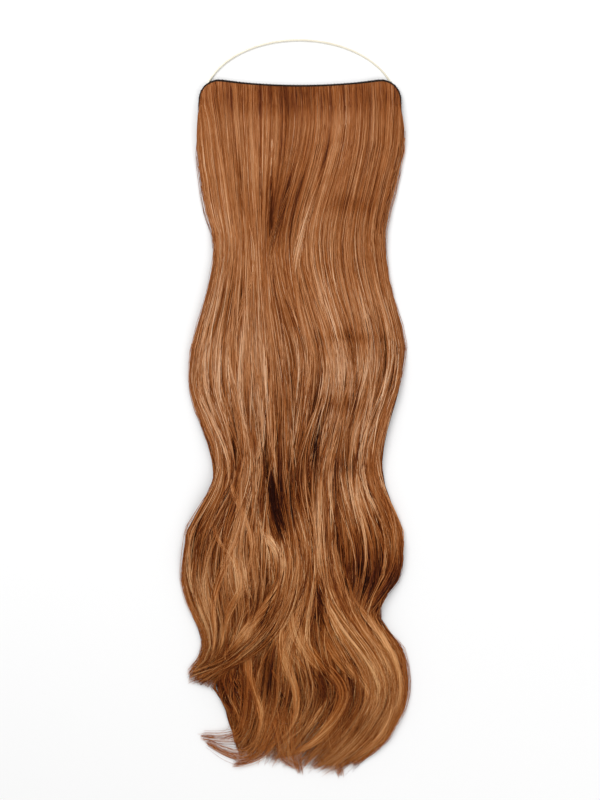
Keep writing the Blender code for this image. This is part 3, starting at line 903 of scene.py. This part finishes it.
def hair_material(name):
    """Hair whose colour follows the tone of each strand, with painted glints along its length, painted patches of
    highlight and shade, and a sheen along its length.
    """
    material, tree, shader = new_material(name, Roughness=0.42, Specular_IOR_Level=0.09, Anisotropic=0.70)
    tone = tree.nodes.new("ShaderNodeAttribute")
    tone.attribute_name = "tone"
    flow = tree.nodes.new("ShaderNodeUVMap")
    flow.uv_map = "flow"
    squeeze = add_node(tree, "ShaderNodeMapping", Scale=(7.0, 70.0, 1.0))
    glint = add_node(tree, "ShaderNodeTexNoise", Scale=1.0, Detail=3.0, Roughness=0.65)
    level = add_node(tree, "ShaderNodeMapRange", From_Min=0.2, From_Max=0.8, To_Min=-0.17, To_Max=0.17)
    with_glint, with_painted_light = tree.nodes.new("ShaderNodeMath"), tree.nodes.new("ShaderNodeMath")
    ramp = add_ramp(
        tree,
        (0.00, (0.022, 0.0030, 0.0004)),
        (0.20, (0.125, 0.023, 0.0032)),
        (0.42, (0.335, 0.100, 0.021)),
        (0.65, (0.550, 0.240, 0.096)),
        (1.00, (0.850, 0.530, 0.320)),
    )
    tangent = tree.nodes.new("ShaderNodeTangent")
    tangent.direction_type = "UV_MAP"
    tangent.uv_map = "flow"
    place, axes = tree.nodes.new("ShaderNodeTexCoord"), tree.nodes.new("ShaderNodeSeparateXYZ")
    low = add_node(tree, "ShaderNodeMapRange", From_Min=-0.28, From_Max=-0.50)
    warm = tree.nodes.new("ShaderNodeMix")
    warm.data_type, warm.blend_type = "RGBA", "MULTIPLY"
    warm.inputs[7].default_value = (0.98, 0.87, 0.62, 1.0)
    join(
        tree,
        (flow, "UV", squeeze, "Vector"),
        (squeeze, "Vector", glint, "Vector"),
        (glint, "Fac", level, "Value"),
        (tone, "Fac", with_glint, 0),
        (level, "Result", with_glint, 1),
        (with_glint, "Value", with_painted_light, 0),
        (*painted_light_places(tree), with_painted_light, 1),
        (with_painted_light, "Value", ramp, "Fac"),
        (place, "Object", axes, "Vector"),
        (axes, "Y", low, "Value"),
        (low, "Result", warm, 0),
        (ramp, "Color", warm, 6),
        (warm, 2, shader, "Base Color"),
        (tangent, "Tangent", shader, "Tangent"),
    )
    return material


def painted_shade_undercoat_material():
    """Hair deep in the pile, painted dark as the shade that falls there, streaked along its length."""
    material, tree, shader = new_material("hair_undercoat", Roughness=0.70, Specular_IOR_Level=0.10)
    place = tree.nodes.new("ShaderNodeTexCoord")
    squeeze = add_node(tree, "ShaderNodeMapping", Scale=(900.0, 22.0, 22.0))
    streak = add_node(tree, "ShaderNodeTexNoise", Scale=1.0, Detail=4.0, Roughness=0.6)
    ramp = add_ramp(tree, (0.32, (0.014, 0.003, 0.0006)), (0.72, (0.120, 0.032, 0.007)))
    bump = add_node(tree, "ShaderNodeBump", Strength=0.6, Distance=0.0008)
    join(
        tree,
        (place, "Object", squeeze, "Vector"),
        (squeeze, "Vector", streak, "Vector"),
        (streak, "Fac", ramp, "Fac"),
        (streak, "Fac", bump, "Height"),
        (ramp, "Color", shader, "Base Color"),
        (bump, "Normal", shader, "Normal"),
    )
    return material


def link_mesh(name, bm, material):
    """Turns a bmesh into a smooth piece that rides on the frame."""
    for face in bm.faces:
        face.smooth = True
    mesh = bpy.data.meshes.new(name)
    bm.to_mesh(mesh)
    bm.free()
    thing = add_object(name, mesh)
    mesh.materials.append(material)
    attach(thing, "root")
    return thing


def make_undercoat(pile):
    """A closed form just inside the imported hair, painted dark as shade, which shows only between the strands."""
    bm = bmesh.new()
    low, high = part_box("hair")
    rows, points = 100, 26
    downs = np.linspace(high[1] - 0.0065, low[1] + 0.045, rows)
    edges = np.array([pile.edges(y) for y in downs])
    for _ in range(3):
        edges[1:-1] = (edges[:-2] + 2 * edges[1:-1] + edges[2:]) / 4
    loops = []
    for y, (left, right) in zip(downs, edges):
        inset = 0.0048 + 0.018 * float(smooth_step((level_of(y) - 78) / 9))
        across = np.linspace(left + inset, right - inset, points)
        heights = np.maximum(pile.at(across, np.full(points, y)) - 0.0030, 0.0008)
        heights[[0, -1]] = 0.0006
        ring = [bm.verts.new((x, y, z)) for x, z in zip(across, heights)]
        ring += [bm.verts.new((x, y, LOWEST)) for x in across[::-3]]
        loops.append([bm.edges.new((a, b)) for a, b in zip(ring, ring[1:] + ring[:1])])
    for first, second in zip(loops, loops[1:]):
        bmesh.ops.bridge_loops(bm, edges=first + second)
    for end in (loops[0], loops[-1]):
        bmesh.ops.contextual_create(bm, geom=end)
    bmesh.ops.recalc_face_normals(bm, faces=bm.faces)
    return link_mesh("hair_undercoat", bm, painted_shade_undercoat_material())


class HALO_OT_camera(bpy.types.Operator):
    """Puts the camera straight above, framed as the photograph is"""

    bl_idname = "halo_hair.camera"
    bl_label = "Camera"

    def execute(self, context):
        lens = settings().lens
        data = bpy.data.cameras.new("camera")
        data.lens = lens
        data.sensor_width = SENSOR_WIDTH
        camera = add_object("camera", data)
        far = PIXEL * PHOTO_HEIGHT * lens / SENSOR_WIDTH
        camera.location = (0.0, PHOTO_MIDDLE_Y, SCALE_PLANE + far)
        context.scene.camera = camera
        return {"FINISHED"}


class HALO_OT_wire(bpy.types.Operator):
    """Lays the nylon wire in its loop from one end of the band to the other"""

    bl_idname = "halo_hair.wire"
    bl_label = "Wire"

    def execute(self, context):
        share = 1.0 - (ANCHOR_INSET + ANCHOR_LENGTH / 2) / band_half_length()
        held = band_point(share)[0]
        end = Vector((held.x, held.y + ANCHOR_LENGTH / 2 + CLEARANCE))
        angles = np.linspace(-math.pi / 2, math.pi / 2, WIRE_POINTS)
        points = [
            (end.x * math.sin(a) - WIRE_LEAN * math.cos(a), end.y + WIRE_RISE * math.cos(a), WIRE_HEIGHT)
            for a in angles
        ]
        curve = bpy.data.curves.new("wire_loop", "CURVE")
        curve.dimensions = "3D"
        curve.bevel_depth = WIRE_DIAMETER / 2
        curve.bevel_resolution = 4
        curve.use_fill_caps = True
        spline = curve.splines.new("POLY")
        spline.points.add(len(points) - 1)
        for place, point in zip(spline.points, points):
            place.co = (*point, 1.0)
        wire = add_object("wire_loop", curve)
        curve.materials.append(self.material())
        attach(wire, "root")
        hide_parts("halo_wire")
        return {"FINISHED"}

    def material(self):
        """Clear nylon that reads as pale cream, with faint clouding along it."""
        return mottled_material(
            "nylon_wire",
            ("ShaderNodeTexNoise", {"Scale": 90.0, "Detail": 3.0}),
            (0.80, 0.72, 0.55),
            (0.93, 0.88, 0.74),
            Roughness=0.22,
            Coat_Weight=0.3,
        )


class HALO_OT_band(bpy.types.Operator):
    """Gives the band its woven cloth and sews a row of stitches along its top edge"""

    bl_idname = "halo_hair.band"
    bl_label = "Weft band"

    def execute(self, context):
        nodes = FRAME["nodes"]
        nodes["weft_band"].data.materials[0] = self.cloth()
        for name in ("wire_anchor_left", "wire_anchor_right"):
            nodes[name].data.materials[0] = self.sleeve()
        self.stitches()
        return {"FINISHED"}

    def cloth(self):
        """Near black twill tape."""
        material, tree, shader = new_material(
            "band_cloth", Roughness=0.78, Sheen_Weight=0.05, Specular_IOR_Level=0.20
        )
        place = tree.nodes.new("ShaderNodeTexCoord")
        tilt = add_node(tree, "ShaderNodeMapping", Rotation=(0.0, 0.0, 0.9))
        weave = add_node(tree, "ShaderNodeTexWave", Scale=420.0, Distortion=0.6, Detail=1.0)
        fleck = add_node(tree, "ShaderNodeTexNoise", Scale=1400.0, Detail=2.0)
        mix = tree.nodes.new("ShaderNodeMath")
        mix.operation = "MULTIPLY"
        ramp = add_ramp(tree, (0.0, (0.009, 0.0035, 0.0018)), (1.0, (0.046, 0.020, 0.010)))
        bump = add_node(tree, "ShaderNodeBump", Strength=0.5, Distance=0.0003)
        join(
            tree,
            (place, "Object", tilt, "Vector"),
            (tilt, "Vector", weave, "Vector"),
            (place, "Object", fleck, "Vector"),
            (weave, "Fac", mix, 0),
            (fleck, "Fac", mix, 1),
            (mix, "Value", ramp, "Fac"),
            (weave, "Fac", bump, "Height"),
            (ramp, "Color", shader, "Base Color"),
            (bump, "Normal", shader, "Normal"),
        )
        return material

    def sleeve(self):
        """Dark brown plastic sleeve, a little scuffed."""
        return mottled_material(
            "anchor_sleeve",
            ("ShaderNodeTexNoise", {"Scale": 600.0, "Detail": 3.0}),
            (0.035, 0.020, 0.012),
            (0.085, 0.052, 0.034),
            Roughness=0.5,
        )

    def thread(self):
        """Dark twisted thread."""
        return mottled_material(
            "band_thread",
            ("ShaderNodeTexWave", {"Scale": 900.0, "Distortion": 1.0}),
            (0.013, 0.006, 0.003),
            (0.060, 0.028, 0.015),
            Roughness=0.55,
        )

    def stitches(self):
        """Short slanted stitches that bind the band's top edge, one loop of thread each."""
        bm = bmesh.new()
        count = int(2 * band_half_length() / settings().stitch_pitch)
        angles = [2 * math.pi * k / 5 for k in range(5)]
        for k in range(1, count):
            share = 2 * k / count - 1
            centre, outward = band_point(share)
            along = Vector((outward.y, -outward.x))
            middle = centre + outward * (BAND_HEIGHT / 2 - STITCH_SET_BACK)
            top = self.lift(share) + BAND_THICKNESS - STITCH_SINK
            rings = []
            for passed in (0.0, 0.25, 0.5, 0.75, 1.0):
                flat = middle + (outward * STITCH_LENGTH + along * STITCH_SLANT) * (0.5 - passed)
                z = top + STITCH_RISE * math.sin(math.pi * passed)
                places = ((flat + along * THREAD_RADIUS * math.cos(a), z + THREAD_RADIUS * math.sin(a)) for a in angles)
                rings.append([bm.verts.new((*plan, height)) for plan, height in places])
            for a, b in zip(rings, rings[1:]):
                for i in range(5):
                    bm.faces.new((a[i], a[(i + 1) % 5], b[(i + 1) % 5], b[i]))
            bm.faces.new(rings[0][::-1])
            bm.faces.new(rings[-1])
        bmesh.ops.recalc_face_normals(bm, faces=bm.faces)
        link_mesh("band_stitches", bm, self.thread())

    def lift(self, share):
        """Height of the band's back face, which is lifted over the wire at both ends."""
        lift = WIRE_DIAMETER + 2 * CLEARANCE + 0.0004
        return float(lift * smooth_step((abs(share) - 0.46) / 0.22))


class HALO_OT_hair(bpy.types.Operator):
    """Fills the pile with locks of single strands over an undercoat painted dark as shade"""

    bl_idname = "halo_hair.hair"
    bl_label = "Hair"

    def execute(self, context):
        pile = Pile(FRAME["nodes"]["hair"])
        pieces = [make_undercoat(pile)]
        material = hair_material("hair_strands")
        plans = [plan_strands(group) for group in GROUPS]
        envelope = hair_envelope(plans)
        for plan in plans:
            pieces.append(self.piece("hair_" + plan["group"].name, *lay_strands(plan, pile, envelope), material))
        pieces.append(self.piece("hair_accent", *accent_strands(pile), material))
        pieces.append(self.piece("hair_flyaway", *flyaway_strands(pile, envelope), material))
        for piece in pieces:
            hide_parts("hair")
        return {"FINISHED"}

    def piece(self, name, lines, tones, widths, material):
        thing = ribbon_mesh(name, lines, tones, widths, settings().roll)
        thing.data.materials.append(material)
        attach(thing, "root")
        return thing


class HALO_OT_stage(bpy.types.Operator):
    """Lays the pale floor and sets the soft studio light"""

    bl_idname = "halo_hair.stage"
    bl_label = "Stage"

    def execute(self, context):
        bm = bmesh.new()
        bmesh.ops.create_grid(bm, x_segments=1, y_segments=1, size=14.0)
        bmesh.ops.translate(bm, vec=(0.0, 0.0, -FLOOR_DROP), verts=bm.verts)
        mesh = bpy.data.meshes.new("floor")
        bm.to_mesh(mesh)
        bm.free()
        pale = new_material("floor", Base_Color=(0.97, 0.97, 0.97, 1.0), Roughness=0.9, Specular_IOR_Level=0.1)[0]
        mesh.materials.append(pale)
        add_object("floor", mesh)
        self.light("key", (-0.55, 0.75, 1.35), 1.1, 17.0)
        self.light("fill", (0.9, -0.9, 1.3), 1.2, 7.0)
        world = bpy.data.worlds.new("studio")
        world.use_nodes = True
        set_sockets(world.node_tree.nodes["Background"], {"Color": (1.0, 1.0, 1.0, 1.0), "Strength": 0.55})
        context.scene.world = world
        context.scene.view_settings.view_transform = "Standard"
        return {"FINISHED"}

    def light(self, name, place, size, power):
        data = bpy.data.lights.new(name, "AREA")
        data.size = size
        data.energy = power
        lamp = add_object(name, data)
        lamp.location = place
        aim = Vector((0.0, PHOTO_MIDDLE_Y, 0.0)) - Vector(place)
        lamp.rotation_euler = aim.to_track_quat("-Z", "Y").to_euler()


class HALO_PT_panel(bpy.types.Panel):
    """Sidebar panel of the halo hair operators"""

    bl_idname = "HALO_PT_panel"
    bl_label = "Halo Hair"
    bl_space_type = "VIEW_3D"
    bl_region_type = "UI"
    bl_category = "Halo Hair"

    def draw(self, context):
        options = context.scene.halo_hair
        for key in HaloSettings.__annotations__:
            self.layout.prop(options, key)
        for operator in OPERATORS:
            self.layout.operator(operator.bl_idname)


OPERATORS = (HALO_OT_camera, HALO_OT_wire, HALO_OT_band, HALO_OT_hair, HALO_OT_stage)
CLASSES = (HaloSettings, *OPERATORS, HALO_PT_panel)
FRAME = {}


def register():
    for cls in CLASSES:
        bpy.utils.register_class(cls)
    bpy.types.Scene.halo_hair = PointerProperty(type=HaloSettings)


def unregister():
    del bpy.types.Scene.halo_hair
    for cls in reversed(CLASSES):
        bpy.utils.unregister_class(cls)


def main():
    FRAME.update(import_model())
    register()
    bpy.ops.halo_hair.camera()
    bpy.ops.halo_hair.wire()
    bpy.ops.halo_hair.band()
    bpy.ops.halo_hair.hair()
    bpy.ops.halo_hair.stage()


if __name__ == "__main__":
    main()
